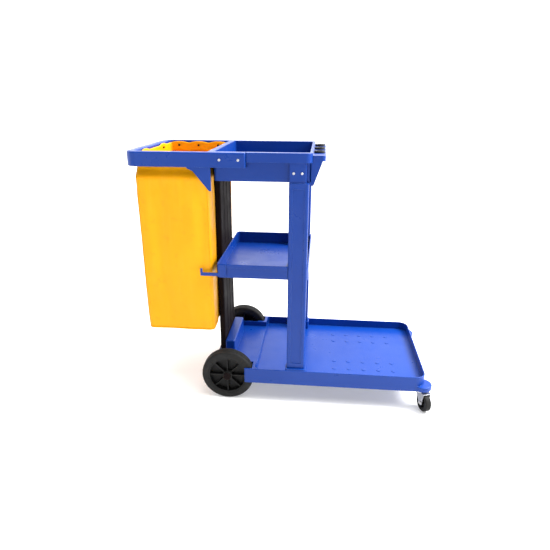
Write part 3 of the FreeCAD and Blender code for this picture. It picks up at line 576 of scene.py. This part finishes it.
def make_bag_skin(material, columns):
    """The bag's wall and its sagging bottom, as one thin closed shell."""
    rows = []
    steps = 92
    foot = BAG_LOW.z + 0.016
    for i in range(steps + 1):
        down = i / steps
        row = []
        for side, t in columns:
            top = BAG_HIGH.z - hem_drop(side, t) - 0.0005
            row.append(bag_point(side, t, blend_value(top, foot, down)))
        rows.append(row)
    rim = rows[-1]
    centre = sum(rim, Vector()) / len(rim)
    for shrink in (0.975, 0.94, 0.88, 0.80, 0.70, 0.58, 0.45, 0.32, 0.19, 0.08):
        row = []
        for p in rim:
            q = centre + (p - centre) * shrink
            sink = 0.0135 * smooth(1.0 - shrink, 0.0, 0.30)
            wave = noise.noise(Vector((q.x * 22.0, q.y * 22.0, 4.0)))
            ripple = 0.0016 * wave * smooth(1.0 - shrink, 0.05, 0.3)
            q.z = foot - sink + abs(ripple)
            row.append(q)
        rows.append(row)
    mesh = grid_mesh("bag_skin", rows)
    last = len(rows) - 1
    width = len(rim)
    work = bmesh.new()
    work.from_mesh(mesh)
    work.verts.ensure_lookup_table()
    work.faces.new([work.verts[last * width + j] for j in range(width)])
    bmesh.ops.recalc_face_normals(work, faces=work.faces)
    work.to_mesh(mesh)
    work.free()
    skin = add_object("bag_skin", mesh, material)
    thicken(skin, SKIN)
    return skin


def strip_along(name, columns, levels, material, lift, thickness):
    """Band of cloth that follows the bag between two heights below the hem's edge."""
    rows = []
    for drop in levels:
        row = []
        for side, t in columns:
            z = BAG_HIGH.z - hem_drop(side, t) - drop
            row.append(bag_point(side, t, z, inset=-lift))
        rows.append(row)
    mesh = grid_mesh(name, rows)
    face_outwards(mesh)
    piece = add_object(name, mesh, material)
    thicken(piece, thickness)
    return piece


def tube_along(name, points, radius, material, closed=False, sides=8):
    """Round tube through a list of points."""
    rows = []
    count = len(points)
    for i, p in enumerate(points):
        before = points[i - 1] if closed or i > 0 else p
        after = points[(i + 1) % count] if closed or i < count - 1 else p
        along = (after - before).normalized()
        helper = Vector((0, 0, 1)) if abs(along.z) < 0.8 else Vector((1, 0, 0))
        across = along.cross(helper).normalized()
        other = along.cross(across)
        row = []
        for k in range(sides):
            a = 2.0 * math.pi * k / sides
            row.append(p + across * (radius * math.cos(a)) + other * (radius * math.sin(a)))
        rows.append(row)
    if closed:
        rows.append(rows[0])
    mesh = grid_mesh(name, rows)
    work = bmesh.new()
    work.from_mesh(mesh)
    if closed:
        bmesh.ops.remove_doubles(work, verts=work.verts, dist=1e-6)
    else:
        work.verts.ensure_lookup_table()
        work.faces.new([work.verts[k] for k in range(sides)])
        work.faces.new([work.verts[(count - 1) * sides + k] for k in range(sides)])
    bmesh.ops.recalc_face_normals(work, faces=work.faces)
    work.to_mesh(mesh)
    work.free()
    return add_object(name, mesh, material)


def make_bag(materials):
    columns = outline_columns()
    yellow = materials["yellow_vinyl"]
    skin = make_bag_skin(yellow, columns)
    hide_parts("bag")
    pieces = [skin]
    hem_levels = [HEM_DEPTH * i / 8 for i in range(9)]
    pieces.append(strip_along("bag_hem", columns, hem_levels, yellow, -SKIN - 0.0001, 0.0014))
    foot = BAG_LOW.z + 0.020
    seam = [bag_point(side, t, foot, inset=-0.0008) for side, t in columns]
    pieces.append(tube_along("bag_foot_seam", seam, 0.0019, yellow, closed=True))
    for i in range(4):
        line = []
        for k in range(70):
            z = blend_value(BAG_HIGH.z - HEM_DEPTH - 0.004, foot, k / 69)
            line.append(bag_point("corner%d" % i, 0.5, z, inset=-0.0004))
        pieces.append(tube_along("bag_seam_%d" % i, line, 0.0016, yellow))
    for piece in pieces:
        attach(piece, "cart")
    stitches = make_stitches(columns, materials["zip_cloth"])
    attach(stitches, "cart")


def make_stitches(columns, material):
    """Two rows of stitches that hold the hem down."""
    work = bmesh.new()
    for drop in (HEM_DEPTH - 0.004, HEM_DEPTH - 0.009):
        line = []
        for side, t in columns:
            z = BAG_HIGH.z - hem_drop(side, t) - drop
            line.append(bag_point(side, t, z, inset=-0.0003))
        for i in range(len(line)):
            a, b = line[i], line[(i + 1) % len(line)]
            along = (b - a)
            length = min(along.length * 0.62, 0.0048)
            if along.length < 1e-5:
                continue
            along.normalize()
            out = along.cross(Vector((0, 0, 1)))
            middle = (a + b) / 2
            axes = Matrix((along, out, Vector((0, 0, 1)))).transposed().to_4x4()
            scale = Matrix.Diagonal((length / 2, 0.0004, 0.00045, 1.0))
            bmesh.ops.create_icosphere(work, subdivisions=1, radius=1.0,
                                       matrix=Matrix.Translation(middle) @ axes @ scale)
    mesh = bpy.data.meshes.new("bag_stitches")
    work.to_mesh(mesh)
    work.free()
    return add_object("bag_stitches", mesh, material)


# ---------------------------------------------------------------- put together
make_camera()
make_studio()
MATERIALS = make_materials()
dress_cad(MATERIALS)
make_bag(MATERIALS)
